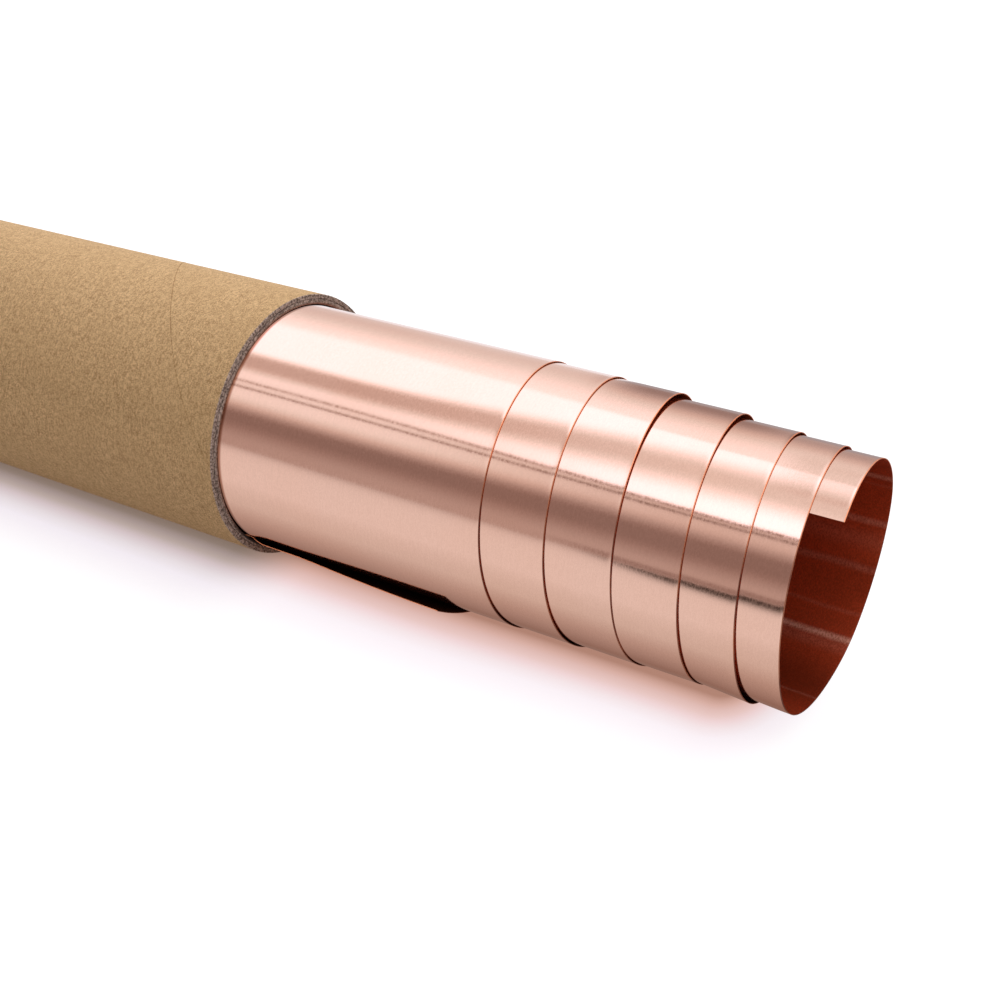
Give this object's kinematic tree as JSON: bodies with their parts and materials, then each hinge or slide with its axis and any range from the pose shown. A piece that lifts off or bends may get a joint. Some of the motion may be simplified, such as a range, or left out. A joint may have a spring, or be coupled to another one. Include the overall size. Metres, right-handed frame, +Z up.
{
  "type": "roll of copper sheet",
  "caption": "Roll of thin copper sheet drawn out of a plain cardboard tube, its turns telescoped at the open end.",
  "frame": {"origin": "under the middle of the whole length, on the surface that the tube lies on", "axes": "+X along the tube towards the open end of the roll, +Z up, -Y the front, where the free end of the sheet shows"},
  "size_m": [0.5576, 0.0826, 0.0826],
  "materials": {
    "kraft_board": "spiral-wound tube of brown kraft board with a matt fibrous face and grey-brown cut rims",
    "copper": null
  },
  "bodies": {
    "root": {"cardboard_tube": "kraft_board", "copper_sheet": "copper"}
  },
  "joints": []
}
